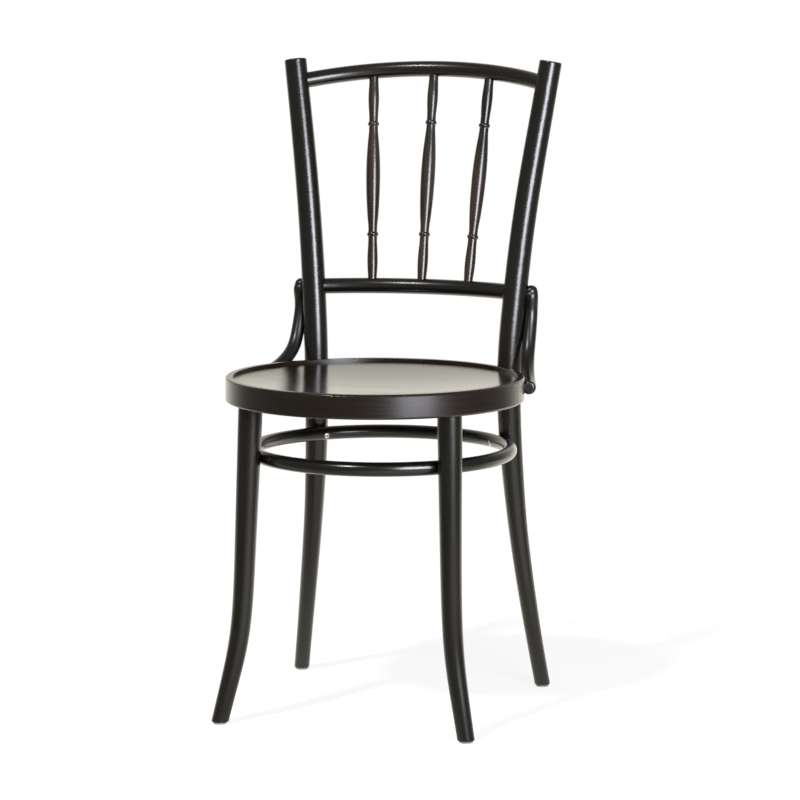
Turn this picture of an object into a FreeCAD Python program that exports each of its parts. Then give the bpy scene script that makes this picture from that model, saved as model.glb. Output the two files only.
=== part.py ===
import FreeCAD, Part
import math
import os
import Sketcher

# Bentwood bistro chair, in millimetres, +Z up, front towards -Y, standing on the floor at Z = 0.
# Every place below is taken from the axis of the seat ring; seat_middle then moves the finished
# pieces along Y, so that the origin lies on the floor under the middle of the whole chair.

os.makedirs("parts", exist_ok=True)
doc = FreeCAD.newDocument("bistro_chair")
Vec = FreeCAD.Vector
Turn = FreeCAD.Rotation
Place = FreeCAD.Placement
UP = Vec(0, 0, 1)

SIZES = [
    ("seat_middle", -38.35, "seat ring axis, from the middle of the chair along Y"),
    ("seat_level", 460.0, "floor to the top of the seat ring"),
    ("back_height", 417.2, "seat ring to the top of the back posts, on their centre line"),
    ("ring_radius", 201.7, "outside of the seat ring"),
    ("ring_height", 32.6, "depth of the seat ring"),
    ("ring_width", 42.0, "width of the bent ring, outside to inside"),
    ("ring_lip", 10.0, "rim left standing round the panel"),
    ("ring_round", 3.0, "rounding of the ring's outer edges"),
    ("ring_ease", 1.0, "rounding of the ring's inner edges"),
    ("panel_thickness", 5.0, "plywood seat panel"),
    ("panel_sunk", 4.3, "panel's edge below the ring's top"),
    ("panel_dish", 7.5, "depth of the panel's dish, from its edge to its middle"),
    ("panel_slack", 0.1, "gap round the panel in its rebate"),
    ("post_bearing", 40.8, "back posts round the ring, from the back, degrees"),
    ("post_stand", 14.3, "back post's centre line beyond the ring's outer face"),
    ("leg_bearing", 128.1, "front legs round the ring, from the back, degrees"),
    ("leg_inset", 26.1, "front leg's centre line inside the ring's outer face"),
    ("hoop_level", 354.6, "height of the leg hoop"),
    ("hoop_rod", 19.2, "thickness of the hoop"),
    ("hoop_notch", 0.8, "depth of the hoop's hollow in the legs"),
    ("foot_level", 2.5, "underside of the wooden feet, above the glides"),
    ("foot_ease", 1.5, "rounding of the feet"),
    ("post_end_round", 2.0, "rounding of the post tops"),
    ("leg_tenon", 20.0, "front leg tenon across"),
    ("leg_tenon_length", 20.0, "front leg tenon up into the ring"),
    ("joint_slack", 0.1, "play round a glued tenon"),
    ("socket_slack", 0.3, "empty end of a tenon socket"),
    ("rail_rod", 22.0, "thickness of both back rails"),
    ("rail_tenon", 14.0, "rail tenon across"),
    ("rail_tenon_past", 7.0, "rail tenon past the post's centre line"),
    ("rail_tenon_root", 26.0, "rail tenon back inside the rail"),
    ("top_rail_drop", 31.8, "top rail's ends below the post tops"),
    ("top_rail_sag", 66.4, "bow of the top rail"),
    ("top_rail_tilt", 16.1, "upward lean of the bow, degrees"),
    ("low_rail_rise", 100.2, "lower rail's ends above the seat ring"),
    ("low_rail_sag", 36.3, "bow of the lower rail"),
    ("low_rail_tilt", 1.1, "upward lean of the bow, degrees"),
    ("spindle_foot", 70.0, "outer spindle on the lower rail, from the middle"),
    ("spindle_head", 85.5, "outer spindle on the top rail, from the middle"),
    ("spindle_tenon", 9.0, "spindle tenon across"),
    ("spindle_tenon_past", 2.0, "spindle tenon past the rail's centre line"),
    ("brace_rod", 18.6, "thickness of the side braces"),
    ("brace_top_round", 9.0, "rounding of the brace's upper end"),
    ("brace_end_round", 4.0, "rounding of the brace's lower end"),
    ("glide_across", 18.0, "plastic glide"),
    ("glide_round", 0.6, "rounding of the glide's lower edge"),
    ("nail_head", 8.0, "glide nail head across"),
    ("nail_head_height", 0.8, "glide nail head"),
    ("nail_recess", 1.0, "glide nail head below the sole of the glide"),
    ("nail_shank", 2.2, "glide nail across"),
    ("nail_length", 18.0, "glide nail"),
    ("bolt_shank", 6.0, "coach screw across"),
    ("bolt_hole", 6.4, "clearance hole for it in the ring"),
    ("bolt_length", 63.0, "coach screw under its head"),
    ("bolt_head", 10.0, "coach screw head across flats"),
    ("bolt_head_height", 4.2, "coach screw head"),
    ("washer_across", 18.0, "washer under the head"),
    ("washer_thickness", 1.6, "washer"),
    ("washer_seat", 0.5, "flat cut into the ring for the washer"),
    ("washer_room", 1.0, "that flat wider than the washer"),
    ("washer_clear", 0.345, "that flat below the panel's rebate"),
    ("screw_head", 8.4, "countersunk screw head across"),
    ("screw_head_depth", 2.6, "cone of the head"),
    ("screw_crown", 0.9, "rise of the head's crown"),
    ("screw_shank", 4.0, "screw across"),
    ("screw_length", 38.0, "screw below its head's rim"),
    ("screw_point", 5.0, "pointed part of the screw"),
    ("screw_sunk", 0.7, "head's rim below the rod's surface"),
    ("screw_lift", 16.0, "slope of the hoop's screws up into the legs, degrees"),
    ("cross_length", 4.4, "cross recess in the head"),
    ("cross_width", 1.0, "cross recess slot"),
    ("cross_depth", 1.9, "cross recess below the crown"),
    ("brace_screw_rise", 80.0, "upper brace screw above the seat ring"),
    ("drill_run", 20.0, "length by which a hole's tool stands out of the work"),
    ("trim_run", 60.0, "waste cut from the end of a rod"),
]

# Centre lines of the rods, right-hand side. A back post is one rod from the floor to its free
# top end: height as a share of the seat's height (below 0) or of the back's (above 0), shift
# outwards and backwards from where the rod passes the seat ring, thickness.
POST = [
    (-1.020, 40.9, 44.2, 21.3),
    (-0.891, 32.5, 34.9, 22.2),
    (-0.761, 24.4, 26.4, 23.6),
    (-0.609, 15.7, 18.2, 25.5),
    (-0.435, 7.7, 11.1, 27.9),
    (-0.250, 2.1, 4.5, 31.4),
    (-0.065, -0.1, 0.2, 33.3),
    (0.145, 3.3, 4.0, 33.7),
    (0.362, 10.6, 12.3, 33.2),
    (0.579, 20.6, 22.3, 32.7),
    (0.796, 33.1, 33.7, 32.0),
    (1.000, 45.3, 43.5, 31.5),
]

# The front leg is thickest under the seat ring and sweeps outwards near the floor: height as a
# share of the height under the ring, shift outwards and backwards, thickness.
LEG = [
    (-0.021, 36.5, -36.3, 22.6),
    (0.058, 29.5, -31.1, 23.3),
    (0.140, 22.1, -25.6, 24.6),
    (0.222, 15.4, -20.3, 25.9),
    (0.316, 10.2, -15.8, 27.0),
    (0.468, 6.5, -11.8, 28.2),
    (0.679, 3.9, -7.3, 30.0),
    (0.866, 1.8, -2.9, 31.9),
    (1.020, 0.0, -0.1, 32.6),
]

# The side brace starts along the ring's outer face, sweeps back and up and ends beside the post:
# rise above the ring's mid height, distance beyond its outer face, bearing from the back.
BRACE = [
    (0.0, 6.0, 72.9),
    (0.0, 7.4, 69.2),
    (1.8, 9.4, 64.0),
    (7.3, 13.3, 58.1),
    (17.8, 19.9, 52.5),
    (34.3, 28.4, 48.0),
    (54.3, 35.1, 45.7),
    (74.3, 40.4, 44.2),
    (96.3, 43.1, 43.6),
    (117.8, 42.9, 43.5),
]

# Turned outline of a spindle: share of its length, thickness. A bead parts each short swelling
# from the long one in the middle.
SWELL_LOW = [(0.0, 13.0), (0.056, 13.3), (0.085, 14.5), (0.117, 15.0), (0.155, 14.4),
             (0.190, 13.2), (0.212, 12.7), (0.228, 12.9)]
SWELL_LONG = [(0.248, 12.9), (0.272, 12.8), (0.310, 15.0), (0.360, 17.3), (0.420, 19.2),
              (0.480, 20.1), (0.520, 20.3), (0.560, 19.9), (0.610, 18.6), (0.660, 16.4),
              (0.700, 14.2), (0.722, 13.1), (0.742, 12.9)]
SWELL_HIGH = [(0.762, 12.9), (0.785, 12.7), (0.820, 14.1), (0.850, 15.1), (0.874, 15.4),
              (0.905, 14.8), (0.939, 13.6), (0.965, 13.2), (1.0, 13.0)]
BEAD_THICKNESS = 16.2

sheet = doc.addObject("Spreadsheet::Sheet", "Sizes")
numbers = {}


def enter(alias, number, note):
    """Put a size in the sheet, under its name."""
    row = len(numbers) + 1
    sheet.set(f"A{row}", alias)
    sheet.set(f"B{row}", str(number))
    sheet.set(f"C{row}", note)
    sheet.setAlias(f"B{row}", alias)
    numbers[alias] = number


for alias, number, note in SIZES:
    enter(alias, number, note)


def round_ring(bearing, beyond):
    """A point at seat level, at a bearing from the back and a distance beyond the ring's face."""
    angle = math.radians(bearing)
    reach = numbers["ring_radius"] + beyond
    return Vec(reach * math.sin(angle), reach * math.cos(angle), numbers["seat_level"])


def enter_station(stem, i, point):
    enter(f"{stem}_across_{i}", round(point.x, 3), "rod station from the middle")
    enter(f"{stem}_behind_{i}", round(point.y, 3), "rod station behind the ring axis")
    enter(f"{stem}_height_{i}", round(point.z, 3), "rod station above the floor")


post_stands = round_ring(numbers["post_bearing"], numbers["post_stand"])
for i, (share, outwards, backwards, thickness) in enumerate(POST):
    span = numbers["seat_level"] if share < 0 else numbers["back_height"]
    enter_station("post", i, post_stands + Vec(outwards, backwards, share * span))
    enter(f"post_thick_{i}", thickness, "rod thickness there")
leg_stands = round_ring(numbers["leg_bearing"], -numbers["leg_inset"])
leg_stands.z = 0
for i, (share, outwards, backwards, thickness) in enumerate(LEG):
    span = numbers["seat_level"] - numbers["ring_height"]
    enter_station("leg", i, leg_stands + Vec(outwards, backwards, share * span))
    enter(f"leg_thick_{i}", thickness, "rod thickness there")
for i, (rise, beyond, bearing) in enumerate(BRACE):
    foot = Vec(0, 0, rise - numbers["ring_height"] / 2)
    enter_station("brace", i, round_ring(bearing, beyond) + foot)
inside_share = ((numbers["ring_radius"] - numbers["ring_width"])
                / (numbers["ring_radius"] - numbers["ring_lip"]))
enter("ledge_fall", round(numbers["panel_dish"] * (1 - inside_share ** 2) + 0.06, 3),
      "fall of the rebate's floor towards its inner edge, under the dished panel")
enter("bolt_drop", round(numbers["panel_sunk"] + numbers["panel_thickness"]
                         + numbers["ledge_fall"] + numbers["washer_clear"]
                         + (numbers["washer_across"] + numbers["washer_room"]) / 2, 3),
      "coach screws below the ring's top, clear of the rebate")
doc.recompute()


def parse(words):
    """A sum such as 'ring_radius - ring_width/2' as its value and as a bound expression."""
    total = 0.0
    sign = 1.0
    bound = []
    for word in words.split():
        if word in ("+", "-"):
            sign = -1.0 if word == "-" else 1.0
            bound.append(word)
            continue
        name, _, divisor = word.partition("/")
        if name in numbers:
            amount = numbers[name]
            bound.append("Sizes." + word)
        else:
            amount = float(name)
            bound.append(word)
        total += sign * amount / float(divisor or 1)
        sign = 1.0
    return total, " ".join(bound)


def size(words):
    return parse(words)[0]


def bind(item, prop, words, factor=""):
    item.setExpression(prop, "(" + parse(words)[1] + ")" + factor)


def origin_item(body, role):
    return [f for f in body.Origin.OriginFeatures if f.Role == role][0]


def new_body(name):
    return doc.addObject("PartDesign::Body", name)


def new_sketch(body, name, role, offset=None):
    sketch = body.newObject("Sketcher::SketchObject", name)
    sketch.AttachmentSupport = [(origin_item(body, role), "")]
    sketch.MapMode = "FlatFace"
    if offset is not None:
        sketch.AttachmentOffset = offset
    return sketch


def fix_point(sketch, geo, end, across, up):
    """Dimension one point of a sketch from its origin, bound to the sheet."""
    for kind, words, axis in (("DistanceX", across, -2), ("DistanceY", up, -1)):
        number = size(words)
        if abs(number) < 1e-9:
            sketch.addConstraint(Sketcher.Constraint("PointOnObject", geo, end, axis))
            continue
        at = sketch.addConstraint(Sketcher.Constraint(kind, -1, 1, geo, end, number))
        bind(sketch, f"Constraints[{at}]", words)


def closed_outline(sketch, corners):
    """Straight-sided outline whose corners are dimensioned from the sketch's origin."""
    spots = [Vec(size(a), size(b), 0) for a, b in corners]
    count = len(spots)
    for i in range(count):
        sketch.addGeometry(Part.LineSegment(spots[i], spots[(i + 1) % count]))
    for i in range(count):
        sketch.addConstraint(Sketcher.Constraint("Coincident", i, 2, (i + 1) % count, 1))
    for i, (a, b) in enumerate(corners):
        fix_point(sketch, i, 1, a, b)


def circle(sketch, across, up, diameter):
    spot = Vec(size(across), size(up), 0)
    geo = sketch.addGeometry(Part.Circle(spot, UP, size(diameter) / 2))
    fix_point(sketch, geo, 3, across, up)
    at = sketch.addConstraint(Sketcher.Constraint("Diameter", geo, size(diameter)))
    bind(sketch, f"Constraints[{at}]", diameter)


def revolve(body, sketch, name, angle=360.0, middle=False):
    turned = body.newObject("PartDesign::Revolution", name)
    turned.Profile = sketch
    turned.ReferenceAxis = (origin_item(body, "Z_Axis"), [""])
    turned.Angle = angle
    turned.Midplane = middle
    return turned


def fillet_edges(body, base, name, radius, wanted):
    """Round the edges of a feature that the test accepts."""
    doc.recompute()
    edges = [f"Edge{i}" for i, e in enumerate(base.Shape.Edges, start=1) if wanted(e)]
    rounded = body.newObject("PartDesign::Fillet", name)
    rounded.Base = (base, edges)
    bind(rounded, "Radius", radius)
    return rounded


def centre_line(stem, count):
    """Smooth line through a rod's stations, and those stations."""
    points = []
    for i in range(count):
        points.append(Vec(size(f"{stem}_across_{i}"), size(f"{stem}_behind_{i}"),
                          size(f"{stem}_height_{i}")))
    line = Part.BSplineCurve()
    line.interpolate(points)
    return line, points


def rod(name, stem, line, points, thickness=None):
    """A bent round rod: circles square to its centre line, joined by one smooth skin."""
    body = new_body(name)
    sections = []
    for i, point in enumerate(points):
        turn = Turn(UP, line.tangent(line.parameter(point))[0])
        sketch = new_sketch(body, f"{name}_section_{i}", "XY_Plane", Place(point, turn))
        bind(sketch, "AttachmentOffset.Base.x", f"{stem}_across_{i}")
        bind(sketch, "AttachmentOffset.Base.y", f"{stem}_behind_{i}")
        bind(sketch, "AttachmentOffset.Base.z", f"{stem}_height_{i}")
        circle(sketch, "0", "0", thickness or f"{stem}_thick_{i}")
        sections.append(sketch)
    skin = body.newObject("PartDesign::AdditiveLoft", f"{name}_rod")
    skin.Profile = sections[0]
    skin.Sections = sections[1:]
    return body


def rounded_end(body, name, point, way, radius, rounding):
    """Lengthen a rod by a turned end piece whose edge is rounded over."""
    plane = Place(point, Turn(Vec(0, 1, 0), way))
    sketch = new_sketch(body, name + "_outline", "XY_Plane", plane)
    wide = size(radius)
    tip = size(rounding)
    sketch.addGeometry(Part.LineSegment(Vec(0, 0, 0), Vec(wide, 0, 0)))
    bow = Part.Circle(Vec(wide - tip, 0, 0), UP, tip)
    sketch.addGeometry(Part.ArcOfCircle(bow, 0, math.pi / 2))
    sketch.addGeometry(Part.LineSegment(Vec(wide - tip, tip, 0), Vec(0, tip, 0)))
    sketch.addGeometry(Part.LineSegment(Vec(0, tip, 0), Vec(0, 0, 0)))
    for geo, end, other, start in ((0, 2, 1, 1), (1, 2, 2, 1), (2, 2, 3, 1), (3, 2, 0, 1)):
        sketch.addConstraint(Sketcher.Constraint("Coincident", geo, end, other, start))
    fix_point(sketch, 0, 1, "0", "0")
    fix_point(sketch, 0, 2, radius, "0")
    fix_point(sketch, 2, 2, "0", rounding)
    fix_point(sketch, 1, 3, f"{radius} - {rounding}", "0")
    turned = body.newObject("PartDesign::Revolution", name)
    turned.Profile = sketch
    turned.ReferenceAxis = (sketch, ["V_Axis"])
    turned.Angle = 360
    return turned


def trim_flat(body, name, level, upwards):
    """Cut a rod off level, removing what lies above or below."""
    sketch = new_sketch(body, name + "_outline", "XY_Plane", Place(Vec(0, 0, size(level)), Turn()))
    bind(sketch, "AttachmentOffset.Base.z", level)
    closed_outline(sketch, [("-300", "-300"), ("300", "-300"), ("300", "300"), ("-300", "300")])
    cut = body.newObject("PartDesign::Pocket", name)
    cut.Profile = sketch
    bind(cut, "Length", "trim_run")
    cut.Reversed = upwards
    return cut


def at_level(line, level):
    """Point of a rod's centre line at a height: the line is cut by halves until it is met."""
    low = line.FirstParameter
    high = line.LastParameter
    if not line.value(low).z <= level <= line.value(high).z:
        raise ValueError("level outside the rod")
    while high - low > 1e-9 * line.LastParameter:
        middle = (low + high) / 2
        if line.value(middle).z < level:
            low = middle
        else:
            high = middle
    return line.value(low)


def cylinder(name, diameter, start, way, length):
    """A round bar or hole from a point in a direction."""
    bar = doc.addObject("Part::Cylinder", name)
    bind(bar, "Radius", diameter, " / 2")
    bar.Height = length
    bar.Placement = Place(start, Turn(UP, way))
    return bar


def fused(name, items):
    whole = doc.addObject("Part::MultiFuse", name)
    whole.Shapes = items
    return whole


def cut_by(name, base, items):
    cut = doc.addObject("Part::Cut", name)
    cut.Base = base
    cut.Tool = items[0] if len(items) == 1 else fused(name + "_tools", items)
    return cut


finished = {}


def finish(name, item):
    """Take an object as a finished piece: its own label, and its place in the chair's frame."""
    item.Label = name
    bind(item, "Placement.Base.y", f"seat_middle + {item.Placement.Base.y:.3f}")
    finished[name] = item
    return item


def mirrored(name, source):
    """The left-hand piece of a pair."""
    twin = doc.addObject("Part::Mirroring", name)
    twin.Source = source
    twin.Base = Vec(0, 0, 0)
    twin.Normal = Vec(1, 0, 0)
    twin.Label = name
    finished[name] = twin
    return twin


# Seat ring: one bent beech ring with a scarfed and glued joint, rebated inside for the panel.
ring_body = new_body("ring_blank")
ring_outline = new_sketch(ring_body, "ring_outline", "XZ_Plane")
INSIDE = "ring_radius - ring_width"
LEDGE = "seat_level - panel_sunk - panel_thickness"
UNDER = "seat_level - ring_height"
closed_outline(ring_outline, [
    (INSIDE, UNDER),
    ("ring_radius", UNDER),
    ("ring_radius", "seat_level"),
    ("ring_radius - ring_lip", "seat_level"),
    ("ring_radius - ring_lip", LEDGE),
    (INSIDE, LEDGE + " - ledge_fall"),
])
ring_turned = revolve(ring_body, ring_outline, "ring_turned")


def is_circle(edge, radius, level):
    if not isinstance(edge.Curve, Part.Circle):
        return False
    return abs(edge.Curve.Radius - radius) < 0.01 and abs(edge.Curve.Center.z - level) < 0.01


OUTER = size("ring_radius")
ring_rounded = fillet_edges(
    ring_body, ring_turned, "ring_rounded", "ring_round",
    lambda e: is_circle(e, OUTER, size(UNDER)) or is_circle(e, OUTER, size("seat_level")))
ring_eased = fillet_edges(
    ring_body, ring_rounded, "ring_eased", "ring_ease",
    lambda e: is_circle(e, size(INSIDE), size(UNDER))
    or is_circle(e, OUTER - size("ring_lip"), size("seat_level")))
ring_body.Tip = ring_eased

# A plain disc as large as the ring: what the posts and braces are notched by.
ring_disc = doc.addObject("Part::Cylinder", "ring_disc")
bind(ring_disc, "Radius", "ring_radius")
bind(ring_disc, "Height", "ring_height")
ring_disc.Placement = Place(Vec(0, 0, size(UNDER)), Turn())
bind(ring_disc, "Placement.Base.z", UNDER)

# Seat panel: a plywood disc pressed to a shallow dish, let into the rebate and glued.
panel = new_body("seat_panel")
panel_outline = new_sketch(panel, "panel_outline", "XZ_Plane")
TOP = "seat_level - panel_sunk"
EDGE = "ring_radius - ring_lip - panel_slack"
reach = size(EDGE)
bowl = (reach ** 2 + size("panel_dish") ** 2) / (2 * size("panel_dish"))
for face in (TOP, LEDGE):
    middle = Vec(0, size(face + " - panel_dish") + bowl, 0)
    geo = panel_outline.addGeometry(Part.ArcOfCircle(
        Part.Circle(middle, UP, bowl), -math.pi / 2, math.asin(reach / bowl) - math.pi / 2))
    panel_outline.addConstraint(Sketcher.Constraint("PointOnObject", geo, 3, -2))
    fix_point(panel_outline, geo, 1, "0", face + " - panel_dish")
    fix_point(panel_outline, geo, 2, EDGE, face)
for end, across, drop in ((1, "0", " - panel_dish"), (2, EDGE, "")):
    geo = panel_outline.addGeometry(Part.LineSegment(
        Vec(size(across), size(TOP + drop), 0), Vec(size(across), size(LEDGE + drop), 0)))
    for face, start in ((0, 1), (1, 2)):
        panel_outline.addConstraint(Sketcher.Constraint("Coincident", face, end, geo, start))
panel.Tip = revolve(panel, panel_outline, "panel_turned")
finish("seat_panel", panel)

# Centre lines of the bent rods, which place the hoop, the rails, the glides and the screws.
post_line, post_points = centre_line("post", len(POST))
leg_line, leg_points = centre_line("leg", len(LEG))
brace_line, brace_points = centre_line("brace", len(BRACE))

# Leg hoop: a bent round rod inside the four legs. Its axis is as far from the front legs as
# from the back posts, so that it is let equally deep into all four.
leg_at_hoop = at_level(leg_line, size("hoop_level"))
post_at_hoop = at_level(post_line, size("hoop_level"))
leg_reach = leg_at_hoop.x ** 2 + leg_at_hoop.y ** 2
post_reach = post_at_hoop.x ** 2 + post_at_hoop.y ** 2
enter("hoop_behind", round((post_reach - leg_reach) / (post_at_hoop.y - leg_at_hoop.y) / 2, 2),
      "hoop axis behind the ring axis")
hoop_axis = Vec(0, size("hoop_behind"), size("hoop_level"))


def thickness_at(stem, points, level):
    """Thickness of a rod at a height, between two stations."""
    for i in range(len(points) - 1):
        low = points[i].z
        high = points[i + 1].z
        if low <= level <= high:
            lower = size(f"{stem}_thick_{i}")
            upper = size(f"{stem}_thick_{i + 1}")
            return lower + (upper - lower) * (level - low) / (high - low)
    raise ValueError("level outside the rod")


leg_face = (leg_at_hoop - hoop_axis).Length - thickness_at("leg", leg_points, hoop_axis.z) / 2
enter("hoop_radius", round(leg_face + size("hoop_notch - hoop_rod/2"), 2),
      "centre line of the leg hoop")
doc.recompute()
hoop_body = new_body("hoop_blank")
hoop_outline = new_sketch(hoop_body, "hoop_outline", "XZ_Plane")
HOOP_SPOT = Vec(size("hoop_radius"), size("hoop_level"), 0)
for start in (-math.pi / 2, math.pi / 2):
    half_round = Part.Circle(HOOP_SPOT, UP, size("hoop_rod") / 2)
    hoop_outline.addGeometry(Part.ArcOfCircle(half_round, start, start + math.pi))
hoop_outline.addConstraint(Sketcher.Constraint("Coincident", 0, 2, 1, 1))
hoop_outline.addConstraint(Sketcher.Constraint("Coincident", 1, 2, 0, 1))
hoop_outline.addConstraint(Sketcher.Constraint("Coincident", 0, 3, 1, 3))
hoop_outline.addConstraint(Sketcher.Constraint("Vertical", 0, 1, 0, 2))
fix_point(hoop_outline, 0, 3, "hoop_radius", "hoop_level")
at = hoop_outline.addConstraint(Sketcher.Constraint("Diameter", 0, size("hoop_rod")))
bind(hoop_outline, f"Constraints[{at}]", "hoop_rod")
hoop_body.Tip = revolve(hoop_body, hoop_outline, "hoop_turned")
bind(hoop_body, "Placement.Base.y", "hoop_behind")


# Back rails: bent round rods. Each is an arc in a plane that leans up towards the back.
def rail(name, stem, level):
    end = at_level(post_line, level)
    half = end.x
    enter(stem + "_half", round(half, 3), "rail end from the middle, on the post's centre line")
    doc.recompute()
    sag = size(stem + "_sag")
    tilt = math.radians(size(stem + "_tilt"))
    bend = (half ** 2 + sag ** 2) / (2 * sag)
    sweep = math.asin(half / bend)
    bow = Vec(0, math.cos(tilt), math.sin(tilt))
    centre = Vec(0, end.y, end.z) + bow * (sag - bend)
    body = new_body(name)
    sketch = new_sketch(body, name + "_outline", "YZ_Plane")
    geo = sketch.addGeometry(Part.Circle(Vec(bend, 0, 0), UP, size("rail_rod") / 2))
    sketch.addConstraint(Sketcher.Constraint("PointOnObject", geo, 3, -1))
    at = sketch.addConstraint(Sketcher.Constraint("DistanceX", -1, 1, geo, 3, bend))
    bend_words = f"(Sizes.{stem}_half ^ 2 + Sizes.{stem}_sag ^ 2) / (2 * Sizes.{stem}_sag)"
    sketch.setExpression(f"Constraints[{at}]", bend_words)
    at = sketch.addConstraint(Sketcher.Constraint("Diameter", geo, size("rail_rod")))
    bind(sketch, f"Constraints[{at}]", "rail_rod")
    body.Tip = revolve(body, sketch, name + "_bent", math.degrees(2 * sweep), True)
    body.Placement = Place(centre, Turn(Vec(1, 0, 0), math.degrees(tilt)))
    outward = Vec(math.cos(sweep), 0, 0) - bow * math.sin(sweep)

    def along(across):
        return Vec(across, 0, 0) + centre + bow * math.sqrt(bend ** 2 - across ** 2)

    return body, end, outward, along


top_blank, top_end, top_way, top_along = rail(
    "top_rail_blank", "top_rail", size("seat_level + back_height - top_rail_drop"))
low_blank, low_end, low_way, low_along = rail(
    "low_rail_blank", "low_rail", size("seat_level + low_rail_rise"))

# Back posts: leg and upright are one bent rod, cut level at the foot and square at the top.
post_body = rod("post_blank", "post", post_line, post_points)
post_foot = trim_flat(post_body, "post_foot", "foot_level", False)
post_eased = fillet_edges(
    post_body, post_foot, "post_foot_eased", "foot_ease",
    lambda e: e.BoundBox.ZMax < size("foot_level") + 0.01)
post_top = fillet_edges(
    post_body, post_eased, "post_top_rounded", "post_end_round",
    lambda e: e.CenterOfMass.z > size("seat_level + back_height") - 1)
post_body.Tip = post_top

# Front legs: bent rods with a turned tenon up into the ring.
leg_body = rod("leg_blank", "leg", leg_line, leg_points)
leg_foot = trim_flat(leg_body, "leg_foot", "foot_level", False)
leg_shoulder = trim_flat(leg_body, "leg_shoulder", UNDER, True)
leg_eased = fillet_edges(
    leg_body, leg_shoulder, "leg_foot_eased", "foot_ease",
    lambda e: e.BoundBox.ZMax < size("foot_level") + 0.01)
leg_top = at_level(leg_line, size(UNDER))
tenon_outline = new_sketch(leg_body, "leg_tenon_outline", "XY_Plane", Place(leg_top, Turn()))
circle(tenon_outline, "0", "0", "leg_tenon")
leg_tenon = leg_body.newObject("PartDesign::Pad", "leg_tenon_pad")
leg_tenon.Profile = tenon_outline
bind(leg_tenon, "Length", "leg_tenon_length")
leg_body.Tip = leg_tenon
leg_socket = cylinder("leg_socket", "leg_tenon + joint_slack", leg_top, UP,
                      size("leg_tenon_length + socket_slack"))

# Side braces: bent rods, rounded over at both ends.
brace_body = rod("brace_blank", "brace", brace_line, brace_points, "brace_rod")
brace_end = rounded_end(brace_body, "brace_end", brace_points[0],
                        brace_line.tangent(brace_line.FirstParameter)[0] * -1, "brace_rod/2",
                        "brace_end_round")
brace_top = rounded_end(brace_body, "brace_top", brace_points[-1],
                        brace_line.tangent(brace_line.LastParameter)[0], "brace_rod/2",
                        "brace_top_round")
brace_body.Tip = brace_top


# Countersunk cross-head screws: the crown, the cone, the shank and the point are one turned
# outline; the cross is sunk into the crown.
def wood_screw(name, rim, way):
    body = new_body(name + "_blank")
    outline = new_sketch(body, name + "_outline", "XZ_Plane")
    closed_outline(outline, [
        ("0", "0 - screw_length"),
        ("screw_shank/2", "screw_point - screw_length"),
        ("screw_shank/2", "0 - screw_head_depth"),
        ("screw_head/2", "0"),
        ("screw_head/4", "screw_crown"),
        ("0", "screw_crown"),
    ])
    body.Tip = revolve(body, outline, name + "_turned")
    place = Place(rim, Turn(UP, way * -1))
    body.Placement = place
    slots = []
    for i, angle in enumerate((20, 110)):
        slot = doc.addObject("Part::Box", f"{name}_slot_{i}")
        bind(slot, "Length", "cross_length")
        bind(slot, "Width", "cross_width")
        slot.Height = 5
        corner = Vec(-size("cross_length/2"), -size("cross_width/2"),
                     size("screw_crown - cross_depth"))
        slot.Placement = place.multiply(Place(Vec(), Turn(UP, angle))).multiply(
            Place(corner, Turn()))
        slots.append(slot)
    head_way = cylinder(name + "_head_way", "screw_head", rim, way * -1, 6)
    return body, cut_by(name, body, slots), head_way


def sideways(a, b):
    way = Vec(b.x - a.x, b.y - a.y, 0)
    return way.normalize()


INNER_FACE = size("hoop_rod/2 - screw_sunk")
lift = math.radians(size("screw_lift"))
hoop_screws = []
for name, spot in (("hoop_screw_front", leg_at_hoop), ("hoop_screw_rear", post_at_hoop)):
    across = sideways(hoop_axis, spot)
    middle = hoop_axis + across * size("hoop_radius")
    way = across * math.cos(lift) + UP * math.sin(lift)
    hoop_screws.append(wood_screw(name, middle - way * INNER_FACE, way))

brace_high = at_level(brace_line, size("seat_level + brace_screw_rise"))
post_high = at_level(post_line, size("seat_level + brace_screw_rise"))
SURFACE = size("brace_rod/2 - screw_sunk")
high_way = sideways(brace_high, post_high)
high_screw = wood_screw("brace_screw_high", brace_high - high_way * SURFACE, high_way)
brace_low = brace_points[1] * 0.75 + brace_points[0] * 0.25
low_screw_way = sideways(brace_low, Vec(0, 0, 0))
low_screw = wood_screw("brace_screw_low", brace_low - low_screw_way * SURFACE, low_screw_way)

# Coach screws: from inside the ring, through it and into the posts, each over a washer.
post_at_bolt = at_level(post_line, size("seat_level - bolt_drop"))
bolt_way = sideways(Vec(0, 0, 0), post_at_bolt)
bolt_axis = Vec(0, 0, post_at_bolt.z)
seat_face = size(INSIDE + " + washer_seat")
drilled_from = bolt_axis + bolt_way * (seat_face - size("drill_run"))
washer_hole = cylinder("washer_hole", "bolt_hole", drilled_from, bolt_way,
                       size("drill_run + washer_thickness"))
washer_disc = cylinder("washer_disc", "washer_across",
                       bolt_axis + bolt_way * (seat_face - size("washer_thickness")),
                       bolt_way, size("washer_thickness"))
washer_spot = cylinder("washer_spot", "washer_across + washer_room", drilled_from, bolt_way,
                       size("drill_run"))
ring_bolt_hole = cylinder("ring_bolt_hole", "bolt_hole", drilled_from, bolt_way,
                          size("ring_radius + drill_run") - seat_face)
bolt_body = new_body("bolt_blank")
bolt_outline = new_sketch(bolt_body, "bolt_outline", "XZ_Plane")
closed_outline(bolt_outline, [
    ("0", "0 - bolt_length"),
    ("bolt_shank/2", "screw_point - bolt_length"),
    ("bolt_shank/2", "1"),
    ("0", "1"),
])
bolt_turned = revolve(bolt_body, bolt_outline, "bolt_turned")
head_outline = new_sketch(bolt_body, "bolt_head_outline", "XY_Plane")
corner = size("bolt_head/2") / math.cos(math.radians(30))
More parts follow.
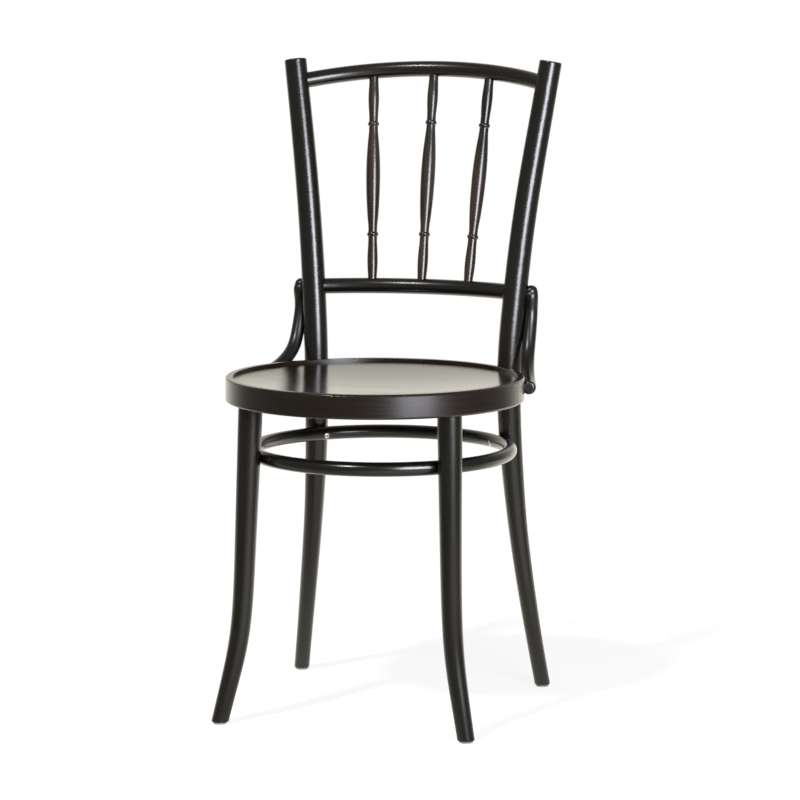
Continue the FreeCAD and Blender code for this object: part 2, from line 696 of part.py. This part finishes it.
spots = [Vec(corner * math.cos(math.radians(60 * i)), corner * math.sin(math.radians(60 * i)), 0)
         for i in range(6)]
for i in range(6):
    head_outline.addGeometry(Part.LineSegment(spots[i], spots[(i + 1) % 6]))
for i in range(6):
    head_outline.addConstraint(Sketcher.Constraint("Coincident", i, 2, (i + 1) % 6, 1))
for i in range(1, 6):
    head_outline.addConstraint(Sketcher.Constraint("Equal", 0, i))
rim = head_outline.addGeometry(Part.Circle(Vec(), UP, corner), True)
head_outline.addConstraint(Sketcher.Constraint("Coincident", rim, 3, -1, 1))
for i in range(6):
    head_outline.addConstraint(Sketcher.Constraint("PointOnObject", i, 1, rim))
head_outline.addConstraint(Sketcher.Constraint("PointOnObject", 0, 1, -1))
at = head_outline.addConstraint(Sketcher.Constraint("Radius", rim, corner))
bind(head_outline, f"Constraints[{at}]", "bolt_head/2", " / cos(30)")
bolt_head = bolt_body.newObject("PartDesign::Pad", "bolt_head_pad")
bolt_head.Profile = head_outline
bind(bolt_head, "Length", "bolt_head_height")
bolt_body.Tip = bolt_head
bolt_seat = bolt_axis + bolt_way * (seat_face - size("washer_thickness"))
bolt_body.Placement = Place(bolt_seat, Turn(UP, bolt_way * -1))
bolt_pilot = cylinder("bolt_pilot", "bolt_shank", bolt_seat, bolt_way, size("bolt_length"))

# Glides: a round plastic foot under each leg, held by a nail whose head is sunk in the sole.
glides = []
for name, line in (("front", leg_line), ("rear", post_line)):
    foot = at_level(line, size("foot_level"))
    spot = Vec(foot.x, foot.y, 0)
    body = new_body(f"glide_{name}_body")
    outline = new_sketch(body, f"glide_{name}_outline", "XZ_Plane")
    closed_outline(outline, [
        ("nail_head/2", "0"),
        ("glide_across/2 - glide_round", "0"),
        ("glide_across/2", "glide_round"),
        ("glide_across/2", "foot_level"),
        ("nail_shank/2", "foot_level"),
        ("nail_shank/2", "nail_recess + nail_head_height"),
        ("nail_head/2", "nail_recess + nail_head_height"),
    ])
    body.Tip = revolve(body, outline, f"glide_{name}_turned")
    body.Placement = Place(spot, Turn())
    nail = new_body(f"nail_{name}_body")
    outline = new_sketch(nail, f"nail_{name}_outline", "XZ_Plane")
    closed_outline(outline, [
        ("0", "nail_recess"),
        ("nail_head/2", "nail_recess"),
        ("nail_head/2", "nail_recess + nail_head_height"),
        ("nail_shank/2", "nail_recess + nail_head_height"),
        ("nail_shank/2", "nail_recess + nail_length - 2"),
        ("0", "nail_recess + nail_length"),
    ])
    nail.Tip = revolve(nail, outline, f"nail_{name}_turned")
    nail.Placement = Place(spot, Turn())
    glides.append((name, body, nail))

# Spindles: turned rods with round tenons; their shoulders are hollowed to sit on the rails.
SPINDLES = (("left", -1), ("centre", 0), ("right", 1))
spindle_tenons = []
for name, side in SPINDLES:
    foot = low_along(side * size("spindle_foot"))
    head = top_along(side * size("spindle_head"))
    way = head - foot
    length = way.Length
    way = way.normalize()
    body = new_body(f"spindle_{name}_blank")
    outline = new_sketch(body, f"spindle_{name}_outline", "XZ_Plane")
    curves = []
    for swell in (SWELL_LOW, SWELL_LONG, SWELL_HIGH):
        curve = Part.BSplineCurve()
        curve.interpolate([Vec(t / 2, share * length, 0) for share, t in swell])
        curves.append(curve)
    parts = [curves[0]]
    for low, high in ((SWELL_LOW, SWELL_LONG), (SWELL_LONG, SWELL_HIGH)):
        start = Vec(low[-1][1] / 2, low[-1][0] * length, 0)
        end = Vec(high[0][1] / 2, high[0][0] * length, 0)
        crest = Vec(BEAD_THICKNESS / 2, (start.y + end.y) / 2, 0)
        parts.append(Part.Arc(start, crest, end))
        parts.append(curves[len(parts) // 2])
    parts.append(Part.LineSegment(Vec(SWELL_HIGH[-1][1] / 2, length, 0), Vec(0, length, 0)))
    parts.append(Part.LineSegment(Vec(0, length, 0), Vec(0, 0, 0)))
    parts.append(Part.LineSegment(Vec(0, 0, 0), Vec(SWELL_LOW[0][1] / 2, 0, 0)))
    for part in parts:
        outline.addGeometry(part)
    body.Tip = revolve(body, outline, f"spindle_{name}_turned")
    body.Placement = Place(foot, Turn(UP, way))
    past = size("spindle_tenon_past")
    slack = size("socket_slack")
    core = cylinder(f"spindle_{name}_core", "spindle_tenon", foot - way * past, way,
                    length + 2 * past)
    socket = cylinder(f"spindle_{name}_socket", "spindle_tenon + joint_slack",
                      foot - way * (past + slack), way, length + 2 * (past + slack))
    spindle_tenons.append(socket)
    shaped = cut_by(f"spindle_{name}_shaped", body, [low_blank, top_blank])
    finish(f"spindle_{name}", fused(f"spindle_{name}", [shaped, core]))

# Rails: their ends are hollowed to fit round the posts and carry a turned tenon.
post_left_blank = doc.addObject("Part::Mirroring", "post_left_blank")
post_left_blank.Source = post_body
post_left_blank.Normal = Vec(1, 0, 0)
post_holes = []
for name, blank, end, way in (("top_rail", top_blank, top_end, top_way),
                              ("lower_rail", low_blank, low_end, low_way)):
    root = size("rail_tenon_root")
    past = size("rail_tenon_past")
    left_end = Vec(-end.x, end.y, end.z)
    left_way = Vec(-way.x, way.y, way.z)
    tenons = [
        cylinder(name + "_tenon_right", "rail_tenon", end - way * root, way, root + past),
        cylinder(name + "_tenon_left", "rail_tenon", left_end - left_way * root, left_way,
                 root + past),
    ]
    post_holes.append(cylinder(name + "_socket", "rail_tenon + joint_slack", end - way * root, way,
                               root + past + size("socket_slack")))
    shaped = cut_by(name + "_shaped", blank, [post_body, post_left_blank])
    with_tenons = fused(name + "_with_tenons", [shaped] + tenons)
    finish(name, cut_by(name, with_tenons, spindle_tenons))

# Back posts, drilled and notched: the ring sits 2 mm deep in the post, the hoop in a hollow.
front_nail = glides[0][2]
rear_nail = glides[1][2]
post_right = cut_by("back_post_right", post_body, [
    ring_disc, hoop_body, bolt_pilot, hoop_screws[1][0], high_screw[0], rear_nail] + post_holes)
finish("back_post_right", post_right)
mirrored("back_post_left", post_right)

leg_right = cut_by("front_leg_right", leg_body, [hoop_body, hoop_screws[0][0], front_nail])
finish("front_leg_right", leg_right)
mirrored("front_leg_left", leg_right)

brace_right = cut_by("side_brace_right", brace_body, [
    post_body, ring_disc, high_screw[0], high_screw[2], low_screw[0], low_screw[2]])
finish("side_brace_right", brace_right)
mirrored("side_brace_left", brace_right)

# Seat ring, drilled on both sides for the legs, the coach screws and the brace screws.
right_holes = fused("ring_holes_right", [leg_socket, washer_spot, ring_bolt_hole, low_screw[0]])
left_holes = doc.addObject("Part::Mirroring", "ring_holes_left")
left_holes.Source = right_holes
left_holes.Normal = Vec(1, 0, 0)
finish("seat_ring", cut_by("seat_ring", ring_body, [right_holes, left_holes]))

# Leg hoop, drilled for its four screws.
hoop_right = fused("hoop_holes_right", [hoop_screws[0][0], hoop_screws[0][2],
                                        hoop_screws[1][0], hoop_screws[1][2]])
hoop_left = doc.addObject("Part::Mirroring", "hoop_holes_left")
hoop_left.Source = hoop_right
hoop_left.Normal = Vec(1, 0, 0)
finish("leg_hoop", cut_by("leg_hoop", hoop_body, [hoop_right, hoop_left]))

for name, body, nail in glides:
    finish(f"glide_{name}_right", body)
    mirrored(f"glide_{name}_left", body)


def both_sides(name, items):
    """A group of equal fasteners: the right-hand ones and their mirrored twins."""
    twins = []
    for item in items:
        twin = doc.addObject("Part::Mirroring", item.Name + "_twin")
        twin.Source = item
        twin.Normal = Vec(1, 0, 0)
        twins.append(twin)
    group = doc.addObject("Part::Compound", name)
    group.Links = items + twins
    finish(name, group)


both_sides("glide_nails", [front_nail, rear_nail])
both_sides("hoop_screws", [hoop_screws[0][1], hoop_screws[1][1]])
both_sides("brace_upper_screws", [high_screw[1]])
both_sides("brace_lower_screws", [low_screw[1]])
both_sides("post_coach_screws", [bolt_body])
both_sides("post_washers", [cut_by("post_washer", washer_disc, [washer_hole])])

doc.recompute()

# Nothing is written unless every object worked and every piece is sound.
faults = [o.Name for o in doc.Objects if "Invalid" in o.State or "Error" in o.State]
if faults:
    raise SystemExit("failed objects: " + ", ".join(faults))
EXPECTED = {"glide_nails": 4, "hoop_screws": 4, "brace_upper_screws": 2,
            "brace_lower_screws": 2, "post_coach_screws": 2, "post_washers": 2}
for name, item in finished.items():
    shape = item.Shape
    if shape.isNull() or not shape.isValid():
        raise SystemExit("unsound piece: " + name)
    if len(shape.Solids) != EXPECTED.get(name, 1):
        raise SystemExit(f"{name} has {len(shape.Solids)} solids")
for name, item in sorted(finished.items()):
    item.Shape.exportStep(os.path.join("parts", name + ".step"))
    box = item.Shape.BoundBox
    print(f"{name}: {box.XLength:.1f} x {box.YLength:.1f} x {box.ZLength:.1f} mm, "
          f"{item.Shape.Volume / 1000:.1f} cm3")
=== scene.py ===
import math

import bpy
import numpy
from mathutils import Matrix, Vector


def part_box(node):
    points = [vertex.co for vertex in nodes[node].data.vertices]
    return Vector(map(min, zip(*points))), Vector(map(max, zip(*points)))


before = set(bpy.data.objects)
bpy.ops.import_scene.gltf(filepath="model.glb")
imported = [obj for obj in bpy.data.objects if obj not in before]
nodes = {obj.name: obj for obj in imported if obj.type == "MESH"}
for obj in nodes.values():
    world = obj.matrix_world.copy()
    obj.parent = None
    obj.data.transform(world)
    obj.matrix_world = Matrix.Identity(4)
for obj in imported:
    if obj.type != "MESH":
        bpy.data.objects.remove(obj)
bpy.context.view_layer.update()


# Seat ring: one beech lath steamed and bent round, its ends glued in a long scarf at the back.
# It is turned outside, rebated inside for the panel, stained nearly black and lacquered satin.

class Wire:
    """A socket in a finish's node tree. Sums of wires and numbers add their own Math nodes."""

    def __init__(self, tree, socket=None):
        self.tree = tree
        self.socket = socket

    def add(self, kind, settings=None, sockets=None, out=0):
        """Any other node: its settings are set first, then the values or wires of its sockets."""
        node = self.tree.nodes.new("ShaderNode" + kind)
        for name, value in (settings or {}).items():
            setattr(node, name, value)
        for name, value in (sockets or {}).items():
            if isinstance(value, Wire):
                self.tree.links.new(value.socket, node.inputs[name])
            else:
                node.inputs[name].default_value = value
        return Wire(self.tree, node.outputs[out] if node.outputs else None)

    def beside(self, out):
        """Another output of the same node."""
        return Wire(self.tree, self.socket.node.outputs[out])

    def maths(self, operation, first, second):
        return self.add("Math", {"operation": operation}, {0: first, 1: second})

    def __add__(self, other):
        return self.maths("ADD", self, other)

    def __radd__(self, other):
        return self.maths("ADD", other, self)

    def __sub__(self, other):
        return self.maths("SUBTRACT", self, other)

    def __rsub__(self, other):
        return self.maths("SUBTRACT", other, self)

    def __mul__(self, other):
        return self.maths("MULTIPLY", self, other)

    def __rmul__(self, other):
        return self.maths("MULTIPLY", other, self)

    def __pow__(self, other):
        return self.maths("POWER", self, other)

    def ramp(self, low, high):
        """0 at low, 1 at high, and a smooth step between."""
        return self.add("MapRange", {"interpolation_type": "SMOOTHSTEP"},
                        {"Value": self, "From Min": low, "From Max": high})

    def tint(self, first, second):
        """The first colour where this wire is 0 and the second where it is 1. A Mix node has
        sockets of one name for each kind of data, so its colours are taken by number."""
        return self.add("Mix", {"data_type": "RGBA"}, {"Factor": self, 6: first, 7: second}, out=2)

    def noise(self, scale, detail):
        """Soft blots over a place, about 1 / scale metres across."""
        return self.add("TexNoise", None, {"Vector": self, "Scale": scale, "Detail": detail})

    def here(self):
        """The place on the object, in metres in the chair's own frame."""
        return self.add("TexCoord", out="Object")


def new_finish(name):
    finish = bpy.data.materials.new(name)
    finish.use_nodes = True
    finish.node_tree.nodes.clear()
    return finish, Wire(finish.node_tree)


def split(start, place):
    """The three parts of a vector."""
    x = start.add("SeparateXYZ", None, {0: place})
    return x, x.beside("Y"), x.beside("Z")


def shade(colour, factors):
    """A colour with each of its channels scaled."""
    return (*(channel * factor for channel, factor in zip(colour, factors)), 1)


def bent_round(low, high, width, scarf):
    """A lath bent to a full circle. Gives its fibres (along it, across it and up it) and the glue
    line at the back, where its outer end tapers away over the inner one for the scarf's length."""
    middle = (low + high) / 2
    radius = (high.x - low.x) / 2

    def laid_out(start):
        shifted = start.add("VectorMath", {"operation": "SUBTRACT"},
                            {0: start.here(), 1: tuple(middle)})
        x, y, z = split(start, shifted)
        reach = (x * x + y * y) ** 0.5
        past_scarf = x - (reach - (radius - width / 2)) * (scarf / width)
        return past_scarf, y, reach, z

    def grain(start):
        past_scarf, y, reach, z = laid_out(start)
        return start.maths("ARCTAN2", past_scarf, 0 - y) * radius, reach, z

    def glue(start):
        past_scarf, y, reach, z = laid_out(start)
        line = 1 - (past_scarf * past_scarf).ramp(1e-7, 6e-7)
        at_back = y.ramp(-0.01, 0.01)
        return line * at_back
    return grain, glue


def lacquered(name, grain, light, dark, gloss=0.26, relief=0.004, seed=0.0, cut=None, crown=0.0):
    """Stained beech under clear lacquer. Grain gives the wires along, across and beside the
    fibres; seed shifts the figure, so that no two rods share it; cut marks end grain and glue
    lines, which drank more stain; crown is the slope by which upright faces look a little
    upwards, where sanding rounded them."""
    finish, start = new_finish(name)
    along, across, beside = grain(start)

    def fibres(stretch, scale, detail):
        spot = start.add("CombineXYZ", None, {0: along * stretch + seed, 1: across, 2: beside})
        return spot.noise(scale, detail)

    streaks = fibres(stretch=0.04, scale=300.0, detail=3.0)
    growth = fibres(stretch=0.012, scale=60.0, detail=2.0)
    cloud = fibres(stretch=0.25, scale=14.0, detail=1.0)
    flecks = fibres(stretch=0.16, scale=1300.0, detail=1.0).ramp(0.61, 0.70)

    warm = shade(light, (1.25, 0.86, 0.78))
    pores = shade(dark, (0.4, 0.4, 0.4))
    colour = (streaks * 0.45 + growth * 0.55).ramp(0.36, 0.66).tint(dark, light)
    colour = (cloud.ramp(0.46, 0.68) * 0.6).tint(colour, warm)
    colour = (flecks * 0.6).tint(colour, pores)
    if cut is not None:
        colour = (cut(start) * 0.75).tint(colour, pores)

    # The lacquer sinks a little into the open grain, and lies in waves some 2 cm long.
    sunk = start.add("Bump", None, {"Strength": relief, "Distance": 0.00008,
                                    "Height": streaks * 0.5 - flecks * 0.35})
    waves = start.add("Bump", None, {"Strength": 0.02, "Distance": 0.0004, "Normal": sunk,
                                     "Height": start.here().noise(45.0, 1.0)})
    tipped = start.add("VectorMath", {"operation": "ADD"}, {0: waves, 1: (0, 0, crown)})
    surface = start.add("BsdfPrincipled", None, {
        "Base Color": colour,
        "Roughness": streaks * 0.06 + cloud * 0.04 + (gloss - 0.05),
        "IOR": 1.5,
        "Normal": start.add("VectorMath", {"operation": "NORMALIZE"}, {0: tipped}),
    })
    start.add("OutputMaterial", None, {"Surface": surface})
    return finish


def dress(names, finish):
    """Give CAD pieces their finish."""
    for name in names:
        for place in nodes[name].material_slots:
            place.material = finish


RING_BROWN = (0.0122, 0.0054, 0.0022, 1)
RING_BLACK = (0.0042, 0.0029, 0.0017, 1)
RING_WIDTH = 0.042
RING_SCARF = 0.15
ring_grain, ring_glue = bent_round(*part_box("seat_ring"), RING_WIDTH, RING_SCARF)
dress(["seat_ring"], lacquered("seat_ring_lacquer", ring_grain, RING_BROWN, RING_BLACK,
                               gloss=0.27, relief=0.03, cut=ring_glue, crown=0.045))


# Seat panel: a disc of plywood pressed to a shallow dish and let into the ring's rebate. Its face
# veneer runs from side to side, stained like the ring, and the lacquer lies flattest here.
def across_seat(start):
    place = start.here()
    x, y, z = split(start, place)
    return x, y + place.noise(5.0, 1.0) * 0.03, z


dress(["seat_panel"], lacquered("seat_panel_lacquer", across_seat, RING_BROWN, RING_BLACK,
                                gloss=0.2, relief=0.04))


# Back posts and front legs: bent beech rods, each turned to its taper from one straight lath and
# then steamed to shape, so the fibres run the whole length of the rod, round its bends.
BROWN = (0.0078, 0.0064, 0.0050, 1)
BLACK = (0.0045, 0.0036, 0.0028, 1)
BEND_DEGREE = 4
END_GRAIN_DEPTH = 0.0012


def along_rod(name, way):
    """Fibres of a bent rod. Way is the axis it mostly runs along; the centre line's shift from
    that axis is a curve fitted to the piece, and is taken away."""
    mesh = nodes[name].data
    spots = numpy.empty(len(mesh.vertices) * 3)
    mesh.vertices.foreach_get("co", spots)
    spots = spots.reshape(-1, 3)
    sides = [axis for axis in range(3) if axis != way]
    curves = [numpy.polynomial.polynomial.polyfit(spots[:, way], spots[:, axis], BEND_DEGREE)
              for axis in sides]

    def grain(start):
        place = split(start, start.here())
        run = place[way]
        shifted = []
        for axis, curve in zip(sides, curves):
            centre = float(curve[-1])
            for factor in curve[-2::-1]:
                centre = run * centre + float(factor)
            shifted.append(place[axis] - centre)
        return run, shifted[0], shifted[1]
    return grain


def cut_above(level):
    """End grain from a level up, with a soft edge just below it."""
    return lambda start: split(start, start.here())[2].ramp(level - 0.0006, level)


for seed, name in enumerate(("back_post_left", "back_post_right", "front_leg_left",
                             "front_leg_right")):
    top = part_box(name)[1].z
    dress([name], lacquered(name + "_lacquer", along_rod(name, 2), BROWN, BLACK, seed=3.7 * seed,
                            cut=cut_above(top - END_GRAIN_DEPTH)))


# Leg hoop: a round beech rod bent to a full circle, its ends glued in a scarf at the back. It is
# let into shallow hollows in the four legs and screwed to them.
HOOP_WIDTH = 0.0192
HOOP_SCARF = 0.11
hoop_grain, hoop_glue = bent_round(*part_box("leg_hoop"), HOOP_WIDTH, HOOP_SCARF)
dress(["leg_hoop"], lacquered("leg_hoop_lacquer", hoop_grain, BROWN, BLACK, gloss=0.24,
                              cut=hoop_glue))


# Back rails: round rods bent to a back's curve, tenoned into the posts. The top one leans back
# as it bows.
for seed, name in enumerate(("top_rail", "lower_rail")):
    dress([name], lacquered(name + "_lacquer", along_rod(name, 0), BROWN, BLACK, seed=21 + seed))


# Spindles: turned between centres, with a bead each side of the long swelling. The turning cut
# across the fibres and they took the stain a little redder.
RED_BROWN = (0.0560, 0.0440, 0.0350, 1)
for seed, name in enumerate(("spindle_left", "spindle_centre", "spindle_right")):
    dress([name], lacquered(name + "_lacquer", along_rod(name, 2), RED_BROWN, BLACK,
                            seed=31 + 2.3 * seed))


# Side braces: thin beech rods bent from the ring's sides up to the posts, flattened at their
# ends and screwed there. The lacquer on them is a little duller.
for seed, name in enumerate(("side_brace_left", "side_brace_right")):
    dress([name], lacquered(name + "_lacquer", along_rod(name, 2), BROWN, BLACK, gloss=0.31,
                            seed=41 + seed))


# Screws, washers and nails: the screws and washers are zinc-plated steel, a little dulled, and
# the nails that hold the glides are bright steel.
def plated(name, colour):
    finish, start = new_finish(name)
    mottle = start.here().noise(900.0, 2.0)
    surface = start.add("BsdfPrincipled", None, {
        "Base Color": mottle.tint(shade(colour, (0.8, 0.8, 0.8)), (*colour, 1)),
        "Metallic": 1.0,
        "Roughness": mottle * 0.2 + 0.22,
    })
    start.add("OutputMaterial", None, {"Surface": surface})
    return finish


dress(["hoop_screws", "brace_upper_screws", "brace_lower_screws", "post_coach_screws",
       "post_washers"], plated("zinc_plating", (0.66, 0.63, 0.56)))
dress(["glide_nails"], plated("nail_steel", (0.55, 0.55, 0.56)))


# Glides: discs of pale hard plastic, moulded with a hollow for the nail that holds each of them
# under its foot. The floor has greyed them a little.
def moulded(name, colour):
    finish, start = new_finish(name)
    grime = start.here().noise(400.0, 3.0)
    surface = start.add("BsdfPrincipled", None, {
        "Base Color": grime.tint(shade(colour, (0.75, 0.72, 0.68)), (*colour, 1)),
        "Roughness": grime * 0.2 + 0.4,
    })
    start.add("OutputMaterial", None, {"Surface": surface})
    return finish


dress(["glide_front_left", "glide_front_right", "glide_rear_left", "glide_rear_right"],
      moulded("glide_plastic_pale", (0.62, 0.61, 0.58)))


# Floor: white paper laid in from behind. The camera sees it as bright as the backdrop, with the
# chair's faint shadow kept. In reflections it is white behind the chair, ends at its sides, is
# dim in front, and has a painted pool of light under the softbox and a painted glow near the
# chair.
FLOOR_RADIUS = 3.6
FLOOR_TURN_COS, FLOOR_TURN_SIN = 0.952, 0.307
# Centre of the painted pool of light in the floor's reflections, under the softbox.
PAINTED_POOL_X, PAINTED_POOL_Y = 1.0, -0.95
WARM_WHITE = (1.0, 0.965, 0.86, 1)


def either(start, names):
    """1 for rays of any of the named kinds."""
    path = start.add("LightPath").socket.node
    kinds = [Wire(start.tree, path.outputs[name]) for name in names]
    return kinds[0] if len(kinds) == 1 else start.maths("MAXIMUM", kinds[0], kinds[1])


def studio_floor():
    finish, start = new_finish("studio_floor")
    camera_ray = either(start, ["Is Camera Ray"])
    mirrored = either(start, ["Is Glossy Ray", "Is Transmission Ray"])
    x, y, z = split(start, start.here())
    side = x * FLOOR_TURN_COS + y * FLOOR_TURN_SIN
    deep = y * FLOOR_TURN_COS - x * FLOOR_TURN_SIN
    sheet = deep.ramp(-0.4, 0.7) * (1 - (side * side).ramp(2.9, 7.8))
    paper = sheet * (side * 0.25 + 1.45)
    # A painted pool of light under the softbox and a painted glow near the chair, seen only in
    # reflections.
    from_painted_pool_x = x - PAINTED_POOL_X
    from_painted_pool_y = y - PAINTED_POOL_Y
    painted_pool = 1 - (from_painted_pool_x * from_painted_pool_x + from_painted_pool_y * from_painted_pool_y).ramp(0.2, 1.7)
    painted_glow_near_chair = 1 - (x * x + y * y).ramp(0.4, 1.8)
    matt = start.add("BsdfDiffuse", None, {"Color": (0.8, 0.8, 0.8, 1)})
    glow = start.add("Emission", None, {"Color": (1, 1, 1, 1), "Strength": 1.25})
    sheen = start.add("Emission", None, {"Color": WARM_WHITE,
                                         "Strength": paper + painted_pool * 1.05 + painted_glow_near_chair * 0.3 + 0.2})
    seen = start.add("MixShader", None, {0: 0.65, 1: matt, 2: glow})
    reflected = start.add("MixShader", None, {0: mirrored, 1: matt, 2: sheen})
    surface = start.add("MixShader", None, {0: camera_ray, 1: reflected, 2: seen})
    start.add("OutputMaterial", None, {"Surface": surface})
    return finish


bpy.ops.object.select_all(action="DESELECT")
bpy.ops.mesh.primitive_circle_add(vertices=96, radius=FLOOR_RADIUS, fill_type="NGON",
                                  location=(0, 0, 0))
floor = bpy.context.object
floor.name = "studio_floor"
floor.data.materials.append(studio_floor())


# Backdrop: white all round for the camera. In reflections it is white behind the chair, brightest
# low down, and dim towards the open front of the studio.
BACKDROP_TURN_COS, BACKDROP_TURN_SIN = 0.956, 0.292
world = bpy.data.worlds.new("studio")
bpy.context.scene.world = world
world.use_nodes = True
world.node_tree.nodes.clear()
start = Wire(world.node_tree)
camera_ray = either(start, ["Is Camera Ray"])
mirrored = either(start, ["Is Glossy Ray", "Is Transmission Ray"])
x, y, z = split(start, start.add("TexCoord", out="Generated"))
deep = y * BACKDROP_TURN_COS - x * BACKDROP_TURN_SIN
behind = deep.ramp(0.41, 1.05) * (1.93 - z.ramp(-0.05, 0.2) * 1.08)
plain = start.add("Background", None, {"Color": (1, 1, 1, 1),
                                       "Strength": camera_ray * 0.65 + 0.35})
sheen = start.add("Background", None, {"Color": WARM_WHITE, "Strength": behind + 0.29})
surface = start.add("MixShader", None, {0: mirrored, 1: plain, 2: sheen})
start.add("OutputWorld", None, {"Surface": surface})


# Lamps: a small hard key from the front left, whose shadows fall to the back right, and an
# upright softbox to the front right, which draws the pale lines down the posts. The softbox is
# two lamps: its light on the surfaces, and just before it its much brighter face in the lacquer.
KEY_AZIMUTH, KEY_ELEVATION, KEY_DISTANCE = -20.5, 50.6, 4.0
SOFTBOX_AZIMUTH = 46.5
SOFTBOX_HEIGHT = 0.94
SOFTBOX_WIDE, SOFTBOX_TALL = 0.68, 0.92
SOFTBOX_LAMPS = (("softbox_light", 16, 1.5), ("softbox_face", 48, 1.48))


def aim(lamp, place, target):
    lamp.location = place
    lamp.rotation_euler = (Vector(target) - Vector(place)).to_track_quat("-Z", "Y").to_euler()


def round_chair(azimuth, elevation, distance, height=0.0):
    """A place at an azimuth from the chair's front towards +X, and an elevation, in degrees."""
    turn = math.radians(azimuth)
    rise = math.radians(elevation)
    return (distance * math.sin(turn) * math.cos(rise), -distance * math.cos(turn) * math.cos(rise),
            height + distance * math.sin(rise))


bpy.ops.object.light_add(type="SUN")
key = bpy.context.object
key.name = "key"
key.data.energy = 1.5
key.data.angle = math.radians(5.0)
aim(key, round_chair(KEY_AZIMUTH, KEY_ELEVATION, KEY_DISTANCE), (0, 0, 0))

for name, energy, distance in SOFTBOX_LAMPS:
    bpy.ops.object.light_add(type="AREA")
    softbox = bpy.context.object
    softbox.name = name
    softbox.data.shape = "RECTANGLE"
    softbox.data.size = SOFTBOX_WIDE
    softbox.data.size_y = SOFTBOX_TALL
    softbox.data.energy = energy
    softbox.data.color = (0.91, 0.92, 1.0)
    softbox.visible_camera = False
    softbox.visible_diffuse = name == "softbox_light"
    softbox.visible_glossy = name == "softbox_face"
    aim(softbox, round_chair(SOFTBOX_AZIMUTH, 0, distance, SOFTBOX_HEIGHT),
        (0, 0, SOFTBOX_HEIGHT))

# A flag keeps the softbox's bright face off the seat panel, which would mirror it from behind.
# The loop above ends with that face, so softbox is it.
flagged = bpy.data.collections.new("flagged_from_softbox_face")
flagged.objects.link(nodes["seat_panel"])
flagged.collection_objects[0].light_linking.link_state = "EXCLUDE"
softbox.light_linking.receiver_collection = flagged


# Camera: it looks at the chair from a little above the seat and from its +X side, with a long
# lens. Its place was solved from the ellipses of the ring and the hoop and from the feet.
YAW = math.radians(17.89)
PITCH = math.radians(7.73)
LOOKED_AT = Vector((0.0354, -0.03835, 0.4279))
DISTANCE = 4.2065
LENS = 140.6
SENSOR = 36
bpy.ops.object.camera_add()
camera = bpy.context.object
camera.name = "camera"
camera.data.sensor_width = SENSOR
camera.data.lens = LENS
camera.location = LOOKED_AT + DISTANCE * Vector((
    math.sin(YAW) * math.cos(PITCH), -math.cos(YAW) * math.cos(PITCH), math.sin(PITCH)))
camera.rotation_euler = (math.pi / 2 - PITCH, 0, YAW)
bpy.context.scene.camera = camera

bpy.context.scene.view_settings.view_transform = "Standard"
